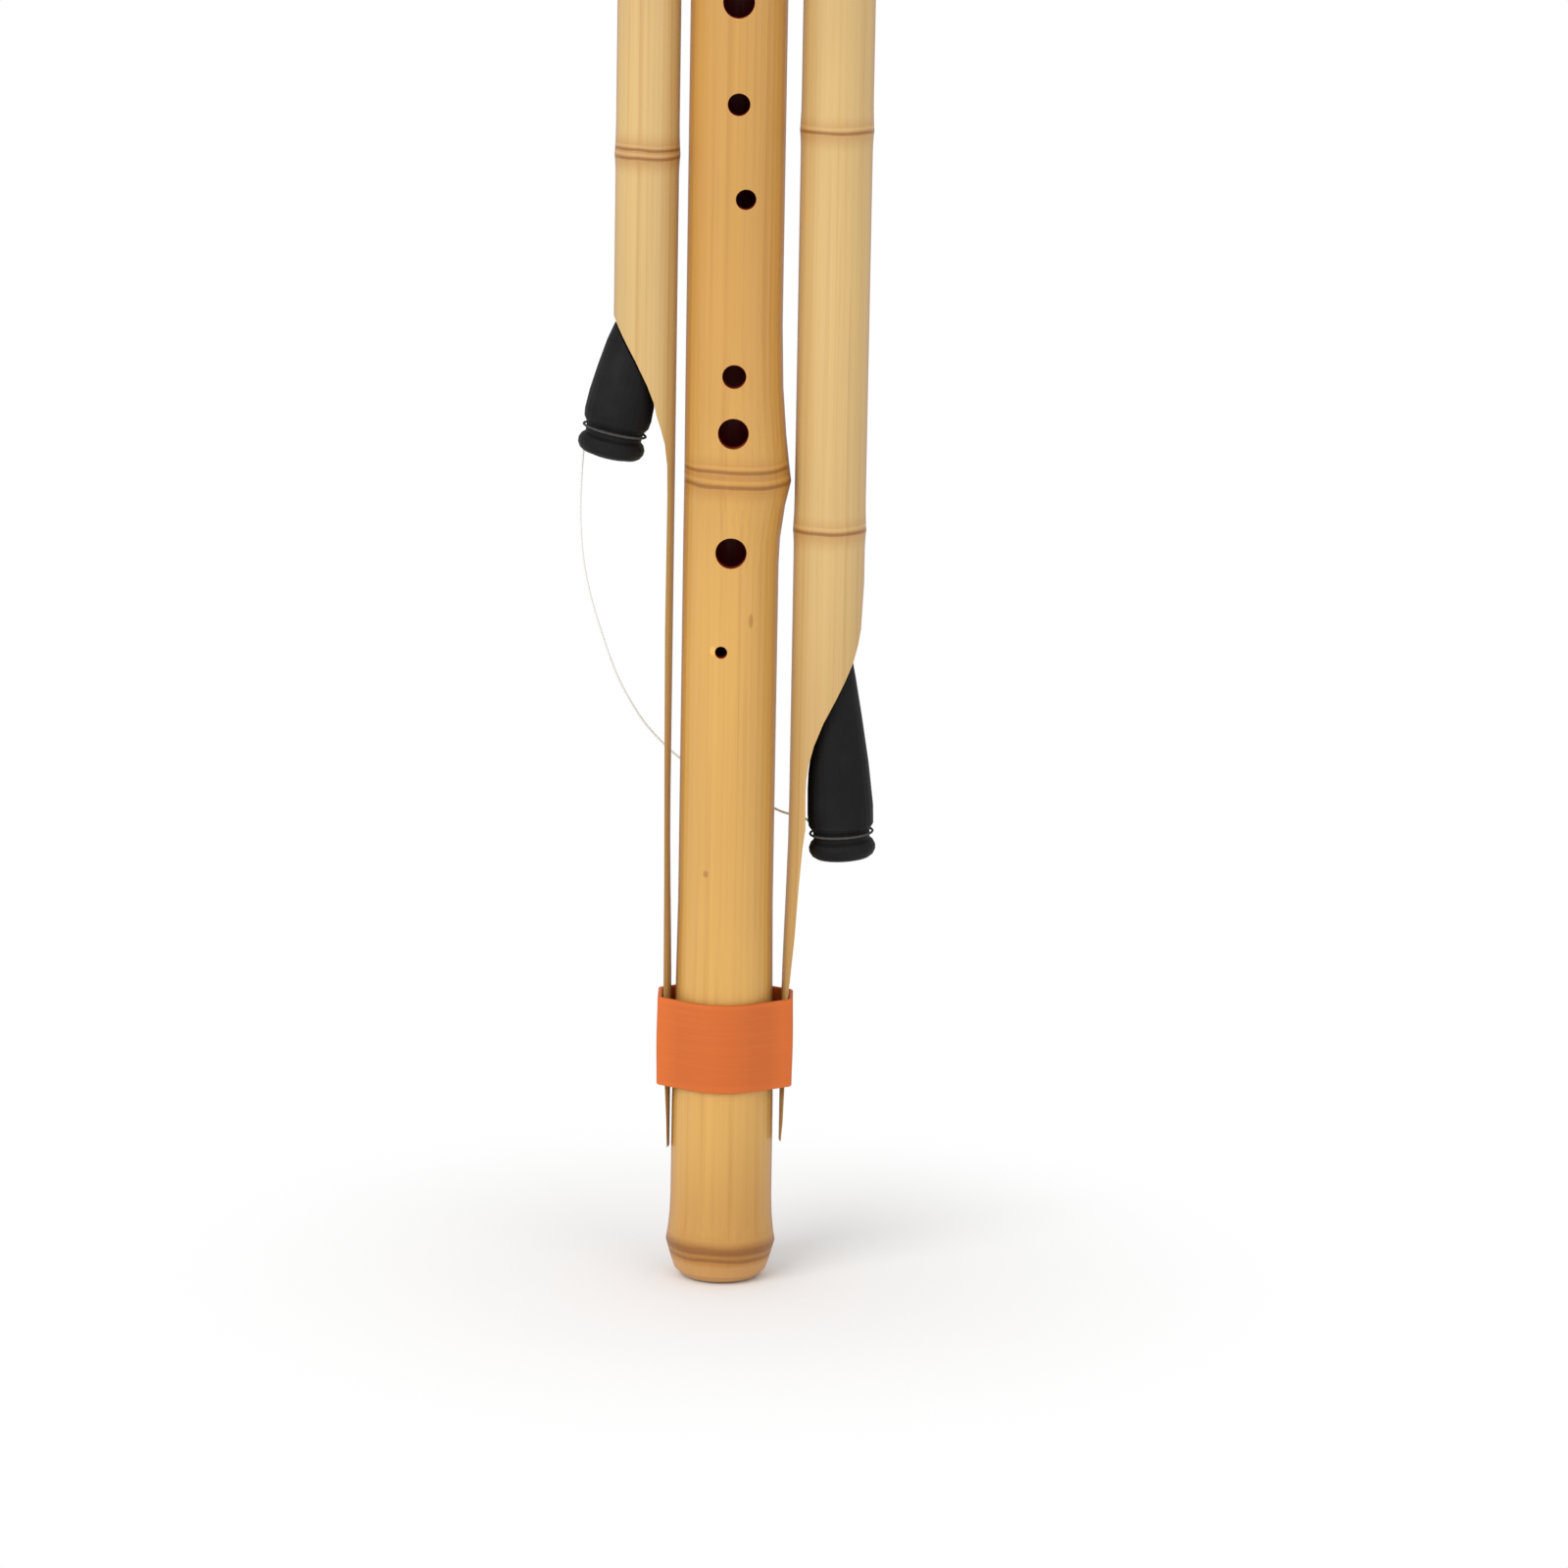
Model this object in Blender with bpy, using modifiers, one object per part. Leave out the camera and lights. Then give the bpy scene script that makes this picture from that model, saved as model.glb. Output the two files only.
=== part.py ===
"""Hulusi: a gourd wind chest with a melody pipe between two drone pipes.

Metres, +Z up. The melody pipe's axis is the Z axis, its foot is at Z = 0 and the
finger holes face -Y.
"""
import math

import bmesh
import bpy
from mathutils import Matrix, Vector
from mathutils.geometry import convex_hull_2d

# Resolution and the gap left between pieces that touch
SIDES = 40
SMALL_SIDES = 28
FIT_GAP = 0.0003

# Base cap's height, and how far the pipe heads and the reeds' centres stand above it
CAP_Z = 0.284
MAIN_HEAD_REACH = 0.070
LEFT_HEAD_REACH = 0.062
RIGHT_HEAD_REACH = 0.064
REED_REACH = 0.043

# Melody pipe
MAIN_R = 0.00922
MAIN_FOOT_SWELL = 0.0007
MAIN_FOOT_SWELL_START = 0.075
MAIN_BORE_R = 0.0064
MAIN_HEAD_Z = CAP_Z + MAIN_HEAD_REACH
MAIN_SEPTUM = 0.003
MAIN_NODE_Z = 0.1578
MAIN_NODE_RISE = 0.00105
MAIN_NODE_LEAN = 0.0011
FOOT_NODE_Z = 0.0067
FOOT_NODE_RISE = 0.0008
FOOT_EDGE_R = 0.0078
FOOT_WALL = 0.011

# Finger holes on the front: height, diameter, sideways offset
FINGER_HOLES = (
    (0.1450, 0.0060, 0.0001),
    (0.1681, 0.0059, 0.0002),
    (0.1790, 0.0046, 0.0002),
    (0.2127, 0.0039, 0.0019),
    (0.2306, 0.0043, 0.0003),
    (0.2497, 0.0060, 0.0000),
)
TUNING_HOLE_Z = 0.1257
TUNING_HOLE_D = 0.0024
TUNING_HOLE_X = -0.0015
THUMB_HOLE_Z = 0.268
THUMB_HOLE_D = 0.0060
OUTLET_HEIGHTS = (0.071, 0.028)
OUTLET_D = 0.0050

# Drone pipes
LEFT_X = -0.0170
LEFT_R = 0.00605
LEFT_BORE_R = 0.00445
LEFT_NODE_Z = 0.2200
LEFT_HEAD_Z = CAP_Z + LEFT_HEAD_REACH
LEFT_END_Z = 0.0256
LEFT_PULL_IN = 0.0007
RIGHT_X = 0.0189
RIGHT_R = 0.00685
RIGHT_BORE_R = 0.0051
RIGHT_NODE_HEIGHTS = (0.2252, 0.1485)
RIGHT_HEAD_Z = CAP_Z + RIGHT_HEAD_REACH
RIGHT_END_Z = 0.0272
RIGHT_PULL_IN = -0.0009
DRONE_NODE_RISE = 0.00022
DRONE_SEPTUM = 0.0025
TAIL_BEND_TOP = 0.095
TAIL_BEND_FOOT = 0.052

# Outline of each slanted cut, from its upper tip down the tail strip: x, z
LEFT_CUT = (
    (-0.0250, 0.1930), (-0.0232, 0.1896), (-0.0212, 0.1857), (-0.0187, 0.1812),
    (-0.0164, 0.1766), (-0.0150, 0.1730), (-0.0146, 0.1709), (-0.0137, 0.1681),
    (-0.0129, 0.1651), (-0.0124, 0.1609), (-0.0123, 0.1550), (-0.0124, 0.1288),
    (-0.0122, 0.1056), (-0.0119, 0.0784), (-0.0118, 0.0640), (-0.0117, 0.0480),
    (-0.0113, 0.0390), (-0.0109, 0.0313), (-0.0107, 0.0245),
)
RIGHT_CUT = (
    (0.0280, 0.1560), (0.0262, 0.1450), (0.0257, 0.1372), (0.0253, 0.1295),
    (0.0248, 0.1266), (0.0239, 0.1233), (0.0224, 0.1198), (0.0207, 0.1163),
    (0.0184, 0.1118), (0.0166, 0.1071), (0.0157, 0.1034), (0.0153, 0.1003),
    (0.0152, 0.0972), (0.0153, 0.0906), (0.0148, 0.0867), (0.0142, 0.0789),
    (0.0136, 0.0691), (0.0129, 0.0610), (0.0123, 0.0540), (0.0121, 0.0375),
    (0.0119, 0.0315), (0.0116, 0.0275),
)
CUT_REACH = 0.030

# Reed seats on the pipe heads, and the reeds
REED_CENTRE_Z = CAP_Z + REED_REACH
REED_SEAT_DEPTH = 0.0009
REED_SEAT_LOW = 0.012
REED_PLATE_LENGTH = 0.0200
REED_PLATE_T = 0.0006
REED_TONGUE_LENGTH = 0.0120
REED_TONGUE_T = 0.0003
REED_TONGUE_SHARE = 0.42
REED_SLOT_MARGIN = 0.0004

# Stoppers: centre of the bead, tilt from vertical, radii along the axis
PLUG_BEAD_R = 0.0065
PLUG_BEAD_HALF = 0.0020
PLUG_NECK_R = 0.0055
PLUG_NECK_S = 0.0030
LEFT_BEAD_X = -0.02325
LEFT_BEAD_Z = 0.1641
LEFT_TILT = math.radians(12.0)
LEFT_BODY = (
    (0.0260, 0.0038), (0.0237, 0.0044), (0.0198, 0.00525), (0.0148, 0.0059),
    (0.0097, 0.0064), (0.0060, 0.0065), (0.0046, 0.0063),
)
LEFT_SHANK = ((0.0285, 0.0022), (0.0100, 0.0034))
RIGHT_BEAD_X = 0.0225
RIGHT_BEAD_Z = 0.0860
RIGHT_TILT = math.radians(-4.0)
RIGHT_BODY = (
    (0.0400, 0.0036), (0.0371, 0.0039), (0.0330, 0.0044), (0.0253, 0.0052),
    (0.0165, 0.0060), (0.0081, 0.00645), (0.0046, 0.0063),
)
RIGHT_SHANK = ((0.0455, 0.0028), (0.0150, 0.0040))

# Band round the melody pipe and the two tail strips
BAND_LOW = 0.0388
BAND_HIGH = 0.0564
BAND_T = 0.0009

# Thread between the stoppers, tied round both necks
THREAD_D = 0.0005
THREAD_POINTS = 78
THREAD_ROUTE = (
    (-0.02720, 0.00470, 0.1680), (-0.02830, 0.00550, 0.1659), (-0.02880, 0.00600, 0.1620),
    (-0.02930, 0.00660, 0.1520), (-0.02890, 0.00730, 0.1425), (-0.02750, 0.00800, 0.1345),
    (-0.02530, 0.00860, 0.1268), (-0.02180, 0.00950, 0.1171), (-0.01790, 0.01000, 0.1100),
    (-0.01440, 0.01030, 0.1055), (-0.00950, 0.01030, 0.1010), (-0.00350, 0.01030, 0.0975),
    (0.00250, 0.01020, 0.0947), (0.00750, 0.01000, 0.0922), (0.01050, 0.00960, 0.0908),
    (0.01320, 0.00850, 0.0903), (0.01520, 0.00670, 0.0901), (0.01620, 0.00500, 0.0896),
    (0.01665, 0.00350, 0.0890),
)

# Base cap and gasket at the bottom of the gourd
CAP_T = 0.0080
CAP_R = 0.0340
CAP_SPIGOT_R = 0.0285
CAP_SPIGOT_T = 0.0040
CAP_EDGE = 0.0012
GASKET_T = 0.0016
GASKET_R = 0.0282

# Gourd: heights and outer radii from the cut bottom up to the neck
GOURD_WALL = 0.0035
GOURD_SHAPE = (
    (0.0000, 0.0325), (0.0080, 0.0377), (0.0200, 0.0408), (0.0340, 0.0415),
    (0.0480, 0.0392), (0.0600, 0.0338), (0.0690, 0.0272), (0.0770, 0.0224),
    (0.0850, 0.0212), (0.0940, 0.0232), (0.1030, 0.0250), (0.1120, 0.0240),
    (0.1200, 0.0200), (0.1270, 0.0150), (0.1340, 0.0115), (0.1420, 0.0100),
)
GOURD_RINGS = 22

# Mouthpiece
COLLAR_T = 0.0020
COLLAR_LENGTH = 0.0100
TUBE_R = 0.0075
TUBE_TIP_R = 0.0062
TUBE_BORE_R = 0.0035
TUBE_LENGTH = 0.0400
TUBE_INSERT = 0.0080
TUBE_EDGE = 0.0008


def clear_scene():
    """Remove every object of the scene that is open."""
    for item in list(bpy.data.objects):
        bpy.data.objects.remove(item, do_unlink=True)


def make_collection(name):
    """Return a new collection linked under the scene."""
    collection = bpy.data.collections.new(name)
    bpy.context.scene.collection.children.link(collection)
    return collection


def make_material(name, colour, roughness, metallic=0.0):
    """Return a Principled BSDF material of one colour."""
    material = bpy.data.materials.new(name)
    material.use_nodes = True
    shader = material.node_tree.nodes["Principled BSDF"]
    shader.inputs["Base Color"].default_value = (*colour, 1.0)
    shader.inputs["Roughness"].default_value = roughness
    shader.inputs["Metallic"].default_value = metallic
    return material


def add_object(name, mesh, collection, material=None):
    """Link a new object with this mesh and material."""
    item = bpy.data.objects.new(name, mesh)
    collection.objects.link(item)
    if material is not None:
        mesh.materials.append(material)
    return item


def mark_cutter(item):
    """Show a cutter as wire only."""
    item.hide_render = True
    item.display_type = "WIRE"
    return item


def smooth(item, angle=math.radians(35.0)):
    """Shade a round piece smooth with sharp edges kept."""
    item.data.shade_smooth()
    item.data.set_sharp_from_angle(angle=angle)


def turned(name, profile, collection, sides=SIDES, closed=False):
    """Turn a profile of (radius, height) about Z with a Screw modifier."""
    mesh = bpy.data.meshes.new(name)
    edges = [(i, i + 1) for i in range(len(profile) - 1)]
    if closed:
        edges.append((len(profile) - 1, 0))
    mesh.from_pydata([(r, 0.0, z) for r, z in profile], edges, [])
    item = add_object(name, mesh, collection)
    screw = item.modifiers.new("turn", "SCREW")
    screw.angle = math.tau
    screw.steps = sides
    screw.render_steps = sides
    screw.use_merge_vertices = True
    screw.merge_threshold = 0.00001
    return item


def baked(item):
    """Replace an object's data by its evaluated mesh and drop its modifiers."""
    bpy.context.view_layer.update()
    graph = bpy.context.evaluated_depsgraph_get()
    mesh = bpy.data.meshes.new_from_object(item.evaluated_get(graph))
    old = item.data
    item.modifiers.clear()
    item.data = mesh
    mesh.name = old.name
    bpy.data.meshes.remove(old)
    return item


def cut(item, cutter, operation="DIFFERENCE"):
    """Add an exact Boolean with the cutter."""
    boolean = item.modifiers.new(operation.lower(), "BOOLEAN")
    boolean.operation = operation
    boolean.solver = "EXACT"
    boolean.object = cutter
    return boolean


def finish(item, material):
    """Apply the modifiers, set the material and shade a round piece."""
    baked(item)
    item.data.materials.clear()
    item.data.materials.append(material)
    smooth(item)
    return item


def curve_mesh(name, curve, collection, matrix=Matrix.Identity(4)):
    """Turn a filled curve into a closed mesh object at the curve's place."""
    holder = bpy.data.objects.new(name + "_outline", curve)
    collection.objects.link(holder)
    holder.matrix_world = matrix
    bpy.context.view_layer.update()
    graph = bpy.context.evaluated_depsgraph_get()
    mesh = bpy.data.meshes.new_from_object(holder.evaluated_get(graph))
    work = bmesh.new()
    work.from_mesh(mesh)
    bmesh.ops.remove_doubles(work, verts=work.verts, dist=0.00001)
    bmesh.ops.recalc_face_normals(work, faces=work.faces)
    work.to_mesh(mesh)
    work.free()
    place = holder.matrix_world.copy()
    bpy.data.objects.remove(holder, do_unlink=True)
    mesh.name = name
    item = add_object(name, mesh, collection)
    item.matrix_world = place
    return item


def flat_curve(name, outlines, half_height):
    """Return a filled 2D curve with one closed spline for each outline."""
    curve = bpy.data.curves.new(name, "CURVE")
    curve.dimensions = "2D"
    curve.fill_mode = "BOTH"
    curve.extrude = half_height
    for outline in outlines:
        spline = curve.splines.new("POLY")
        spline.points.add(len(outline) - 1)
        for point, (x, y) in zip(spline.points, outline):
            point.co = (x, y, 0.0, 1.0)
        spline.use_cyclic_u = True
    return curve


def cylinders(name, rods, collection, sides=24):
    """Return one mesh of rods along Y: centre, diameter and length of each."""
    work = bmesh.new()
    lay = Matrix.Rotation(math.radians(90.0), 4, "X")
    for centre, diameter, length in rods:
        bmesh.ops.create_cone(
            work, cap_ends=True, segments=sides, radius1=diameter / 2.0,
            radius2=diameter / 2.0, depth=length,
            matrix=Matrix.Translation(centre) @ lay)
    mesh = bpy.data.meshes.new(name)
    work.to_mesh(mesh)
    work.free()
    return mark_cutter(add_object(name, mesh, collection))


def boxes(name, blocks, collection):
    """Return one mesh of boxes: centre and size of each."""
    work = bmesh.new()
    for centre, size in blocks:
        bmesh.ops.create_cube(
            work, size=1.0,
            matrix=Matrix.Translation(centre) @ Matrix.Diagonal((*size, 1.0)))
    mesh = bpy.data.meshes.new(name)
    work.to_mesh(mesh)
    work.free()
    return add_object(name, mesh, collection)


def fall(share):
    """Return a smooth step from 1 at share 0 to 0 at share 1."""
    share = min(max(share, 0.0), 1.0)
    return (1.0 - share) ** 2 * (1.0 + 2.0 * share)


def swell(z, knots):
    """Return the extra radius of the nodes at a height."""
    extra = 0.0
    for centre, rise, above, below in knots:
        reach = above if z > centre else below
        extra = max(extra, rise * max(0.0, 1.0 - abs(z - centre) / reach) ** 2)
    return extra


def knot_heights(knots):
    """Return ring heights that follow each node's swelling."""
    heights = []
    for centre, rise, above, below in knots:
        heights += [centre + above * share for share in (1.0, 0.6, 0.3, 0.1)]
        heights += [centre - below * share for share in (0.0, 0.3, 0.7, 1.0)]
    return heights


def catmull(points, count):
    """Return points spaced evenly on a smooth curve through the given points."""
    points = [Vector(point) for point in points]
    ends = [2.0 * points[0] - points[1]] + points + [2.0 * points[-1] - points[-2]]
    fine = []
    steps = 24
    for i in range(len(points) - 1):
        a, b, c, d = ends[i:i + 4]
        for k in range(steps):
            t = k / steps
            fine.append(0.5 * (2.0 * b + (c - a) * t + (2.0 * a - 5.0 * b + 4.0 * c - d) * t * t
                               + (3.0 * b - a - 3.0 * c + d) * t ** 3))
    fine.append(points[-1])
    lengths = [0.0]
    for a, b in zip(fine, fine[1:]):
        lengths.append(lengths[-1] + (b - a).length)
    result = []
    k = 0
    for i in range(count):
        target = lengths[-1] * i / (count - 1)
        while k < len(fine) - 2 and lengths[k + 1] < target:
            k += 1
        span = lengths[k + 1] - lengths[k]
        result.append(fine[k].lerp(fine[k + 1], (target - lengths[k]) / span))
    return result


def reed_seat(x, radius, bore, head_z, cutters, name):
    """Return the flat and the slot that are cut in a pipe's head for its reed."""
    face_y = -(radius - REED_SEAT_DEPTH)
    low = REED_CENTRE_Z - REED_SEAT_LOW
    high = head_z + 0.01
    half = REED_TONGUE_LENGTH / 2.0
    seat = boxes(name + "_seat", (
        ((x, face_y - 0.01, (low + high) / 2.0), (0.05, 0.02, high - low)),), cutters)
    slot = boxes(name + "_slot", (
        ((x, face_y / 2.0 - 0.002, REED_CENTRE_Z),
         (tongue_width(radius) + 4.0 * REED_SLOT_MARGIN, abs(face_y) + 0.004,
          2.0 * half + 4.0 * REED_SLOT_MARGIN)),), cutters)
    return mark_cutter(seat), mark_cutter(slot), face_y


def seat_width(radius):
    """Return the width of the flat on a pipe of this radius."""
    face = radius - REED_SEAT_DEPTH
    return 2.0 * math.sqrt(radius ** 2 - face ** 2)


def tongue_width(radius):
    """Return the width of the reed tongue of a pipe of this radius."""
    return REED_TONGUE_SHARE * (seat_width(radius) - 2.0 * FIT_GAP)


def make_main_pipe(parts, cutters, material):
    """Melody pipe: closed foot node, one middle node, holes and a reed seat."""
    knots = (
        (MAIN_NODE_Z, MAIN_NODE_RISE, 0.030, 0.016),
        (FOOT_NODE_Z, FOOT_NODE_RISE, 0.009, 0.006),
    )
    heights = [z for z in knot_heights(knots) if z > 0.003]
    heights += [MAIN_FOOT_SWELL_START, 0.055, 0.035, 0.0030, 0.0012]
    outer = []
    for z in sorted(set(heights), reverse=True):
        radius = MAIN_R + swell(z, knots)
        radius += MAIN_FOOT_SWELL * fall((z - 0.030) / (MAIN_FOOT_SWELL_START - 0.030))
        if z < FOOT_NODE_Z:
            turn = math.sqrt(max(0.0, 1.0 - (1.0 - z / FOOT_NODE_Z) ** 2))
            radius = FOOT_EDGE_R + (radius - FOOT_EDGE_R) * turn
        outer.append((radius, z))
    profile = [(0.0, MAIN_HEAD_Z), (MAIN_R, MAIN_HEAD_Z)] + outer
    profile += [(FOOT_EDGE_R, 0.0), (0.0, 0.0)]
    pipe = baked(turned("main_pipe", profile, parts))
    for vertex in pipe.data.vertices:
        vertex.co.x += MAIN_NODE_LEAN / MAIN_NODE_RISE * swell(vertex.co.z, knots[:1])
    bore_top = MAIN_HEAD_Z - MAIN_SEPTUM
    bore = mark_cutter(turned("main_bore", [
        (0.0, bore_top), (MAIN_BORE_R, bore_top), (MAIN_BORE_R, FOOT_WALL), (0.0, FOOT_WALL)],
        cutters))
    rods = [((x, -0.010, z), d, 0.014) for z, d, x in FINGER_HOLES]
    rods.append(((TUNING_HOLE_X, -0.010, TUNING_HOLE_Z), TUNING_HOLE_D, 0.014))
    rods.append(((0.0, 0.010, THUMB_HOLE_Z), THUMB_HOLE_D, 0.014))
    rods += [((0.0, 0.010, z), OUTLET_D, 0.014) for z in OUTLET_HEIGHTS]
    holes = cylinders("main_holes", rods, cutters)
    seat, slot, face_y = reed_seat(0.0, MAIN_R, MAIN_BORE_R, MAIN_HEAD_Z, cutters, "main")
    for cutter in (bore, holes, seat, slot):
        cut(pipe, cutter)
    finish(pipe, material)
    return face_y


def tail_shift(z, pull_in):
    """Return the sideways shift of a drone's tail towards the melody pipe."""
    return pull_in * fall((z - TAIL_BEND_FOOT) / (TAIL_BEND_TOP - TAIL_BEND_FOOT))


def cut_region(points, side_x, low, high):
    """Close a cut outline with two far corners on one side of it."""
    path = [point for point in points if point[1] > low]
    return path + [(points[-1][0], low), (side_x, low), (side_x, high), (path[0][0], high)]


def slab(name, outline, cutters):
    """Extrude an outline in the XZ plane along Y."""
    stand = Matrix.Rotation(math.radians(90.0), 4, "X")
    item = curve_mesh(name, flat_curve(name, [outline], CUT_REACH), cutters, stand)
    return mark_cutter(item)


def make_drone(name, x, radius, bore_r, nodes, head_z, end_z, pull_in, points, parts, cutters,
               material):
    """Drone pipe: open tube with a slanted mouth and a long thin tail strip."""
    knots = tuple((z, DRONE_NODE_RISE, 0.006, 0.004) for z in nodes)
    bend = [TAIL_BEND_FOOT + (TAIL_BEND_TOP - TAIL_BEND_FOOT) * share
            for share in (1.0, 0.8, 0.6, 0.4, 0.2, 0.0)]
    heights = sorted(set(knot_heights(knots) + bend), reverse=True)
    outer = [(radius + swell(z, knots), z) for z in heights]
    septum_z = head_z - DRONE_SEPTUM
    inner = [(bore_r, z) for z in reversed(bend)]
    profile = [(0.0, head_z), (radius, head_z)] + outer + [(radius, end_z), (bore_r, end_z)]
    profile += inner + [(bore_r, septum_z), (0.0, septum_z)]
    pipe = baked(turned(name, profile, parts))
    for vertex in pipe.data.vertices:
        vertex.co.x += tail_shift(vertex.co.z, pull_in)
    pipe.location.x = x
    side = math.copysign(0.045, x)
    outside = slab(name + "_cut", cut_region(points, side, end_z - 0.01, points[0][1]), cutters)
    seat, slot, face_y = reed_seat(x, radius, bore_r, head_z, cutters, name)
    for cutter in (outside, seat, slot):
        cut(pipe, cutter)
    finish(pipe, material)
    return face_y


def bead_profile(body):
    """Return a stopper's profile: body, neck and rounded bead, top to bottom."""
    profile = [(0.0, body[0][0])] + [(r, s) for s, r in body]
    profile.append((PLUG_NECK_R, PLUG_NECK_S + 0.0004))
    profile.append((PLUG_NECK_R, PLUG_NECK_S - 0.0004))
    for k in range(7):
        angle = math.radians(62.0 - 26.0 * k)
        ring = PLUG_BEAD_R - PLUG_BEAD_HALF * (1.0 - math.cos(angle))
        profile.append((ring, PLUG_BEAD_HALF * math.sin(angle)))
    profile.append((PLUG_BEAD_R * 0.55, -PLUG_BEAD_HALF * 1.12))
    profile.append((0.0, -PLUG_BEAD_HALF * 1.2))
    return profile


def plug_place(x, z, tilt):
    """Return the matrix of a stopper: bead centre and tilt of its axis."""
    return Matrix.Translation((x, 0.0, z)) @ Matrix.Rotation(tilt, 4, "Y")


def make_plug(name, x, z, tilt, body, shank, points, parts, cutters, material):
    """Stopper: turned body cut to the slanted mouth, with a shank in the bore."""
    place = plug_place(x, z, tilt)
    plug = turned(name, bead_profile(body), parts, SMALL_SIDES)
    plug.matrix_world = place
    outward = math.copysign(FIT_GAP * 1.25, x)
    shifted = [(px + outward, pz) for px, pz in points]
    region = cut_region(shifted, 0.0, z - 0.02, points[0][1] + 0.02)
    keep_out = slab(name + "_keep_out", region, cutters)
    (top_s, top_r), (low_s, low_r) = shank
    stem = mark_cutter(turned(name + "_stem", [
        (0.0, top_s), (top_r * 0.8, top_s), (top_r, top_s - 0.0006), (low_r, low_s),
        (0.0, low_s)], cutters, SMALL_SIDES))
    stem.matrix_world = place
    cut(plug, keep_out)
    cut(plug, stem, "UNION")
    return finish(plug, material)


def make_tie(name, x, z, tilt, parts, material):
    """Thread loop that lies in a stopper's neck groove."""
    ring_r = PLUG_NECK_R + FIT_GAP + THREAD_D / 2.0
    profile = []
    for k in range(8):
        angle = math.tau * (k + 0.5) / 8.0
        profile.append((ring_r + THREAD_D / 2.0 * math.cos(-angle),
                        THREAD_D / 2.0 * math.sin(-angle)))
    tie = turned(name, profile, parts, SMALL_SIDES, closed=True)
    tie.matrix_world = plug_place(x, z, tilt) @ Matrix.Translation((0.0, 0.0, PLUG_NECK_S))
    return finish(tie, material)


def make_thread(parts, material):
    """Thread between the two ties, drawn behind the pipes."""
    curve = bpy.data.curves.new("plug_thread", "CURVE")
    curve.dimensions = "3D"
    curve.bevel_depth = THREAD_D / 2.0
    curve.bevel_resolution = 2
    curve.use_fill_caps = True
    spline = curve.splines.new("POLY")
    route = catmull(THREAD_ROUTE, THREAD_POINTS)
    spline.points.add(len(route) - 1)
    for point, place in zip(spline.points, route):
        point.co = (*place, 1.0)
    curve.materials.append(material)
    item = bpy.data.objects.new("plug_thread", curve)
    parts.objects.link(item)
    length = sum((b - a).length for a, b in zip(route, route[1:]))
    print("plug_thread length", round(length, 5))
    return item


def band_outline(extra):
    """Return the outline round the melody pipe and the strips, grown by extra."""
    middle = (BAND_LOW + BAND_HIGH) / 2.0
    main_r = MAIN_R + MAIN_FOOT_SWELL * 0.7
    circles = [((0.0, 0.0), main_r)]
    for x, radius, points, pull_in in (
            (LEFT_X, LEFT_R, LEFT_CUT, LEFT_PULL_IN),
            (RIGHT_X, RIGHT_R, RIGHT_CUT, RIGHT_PULL_IN)):
        edge = max(abs(px) for px, pz in points if BAND_LOW < pz < BAND_HIGH)
        depth = abs(x + tail_shift(middle, pull_in)) - edge
        half = math.sqrt(radius ** 2 - depth ** 2)
        corner = math.copysign(edge, x)
        circles += [((corner, half - 0.0002), 0.0), ((corner, -half + 0.0002), 0.0)]
    samples = []
    for (cx, cy), radius in circles:
        count = 48 if radius > 0.0 else 12
        for k in range(count):
            angle = math.tau * k / count
            reach = radius + extra
            samples.append(Vector((cx + reach * math.cos(angle), cy + reach * math.sin(angle))))
    hull = [samples[i] for i in convex_hull_2d(samples)]
    return [(point.x, point.y) for point in hull]


def make_band(parts, material):
    """Elastic band: a hull outline with the same outline inside it."""
    outlines = [band_outline(FIT_GAP + BAND_T), band_outline(FIT_GAP)]
    place = Matrix.Translation((0.0, 0.0, (BAND_LOW + BAND_HIGH) / 2.0))
    curve = flat_curve("binding_band", outlines, (BAND_HIGH - BAND_LOW) / 2.0)
    band = curve_mesh("binding_band", curve, parts, place)
    return finish(band, material)


def pipe_bores(name, cutters):
    """Return a cutter of three rods where the pipes pass the cap and gasket."""
    work = bmesh.new()
    middle = CAP_Z + CAP_T / 2.0
    for x, radius in ((0.0, MAIN_R), (LEFT_X, LEFT_R), (RIGHT_X, RIGHT_R)):
        bmesh.ops.create_cone(
            work, cap_ends=True, segments=SIDES, radius1=radius + FIT_GAP,
            radius2=radius + FIT_GAP, depth=0.06,
            matrix=Matrix.Translation((x, 0.0, middle)))
    mesh = bpy.data.meshes.new(name)
    work.to_mesh(mesh)
    work.free()
    return mark_cutter(add_object(name, mesh, cutters))


def make_base(parts, cutters, cap_material, gasket_material):
    """Base cap with a spigot in the gourd, and the gasket that lies on it."""
    top = CAP_Z + CAP_T
    cap = turned("base_cap", [
        (0.0, top + CAP_SPIGOT_T), (CAP_SPIGOT_R, top + CAP_SPIGOT_T), (CAP_SPIGOT_R, top),
        (CAP_R - CAP_EDGE, top), (CAP_R, top - CAP_EDGE), (CAP_R, CAP_Z + CAP_EDGE),
        (CAP_R - CAP_EDGE, CAP_Z), (0.0, CAP_Z)], parts, 48)
    cut(cap, pipe_bores("cap_bores", cutters))
    finish(cap, cap_material)
    low = top + CAP_SPIGOT_T + FIT_GAP
    gasket = turned("pipe_gasket", [
        (0.0, low + GASKET_T), (GASKET_R, low + GASKET_T), (GASKET_R, low), (0.0, low)], parts, 48)
    cut(gasket, pipe_bores("gasket_bores", cutters))
    finish(gasket, gasket_material)


def gourd_profile():
    """Return the outer points of the gourd from the neck down, evenly spaced."""
    shape = [(r, 0.0, z) for z, r in GOURD_SHAPE]
    return [(point.x, point.z) for point in reversed(catmull(shape, GOURD_RINGS))]


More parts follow.
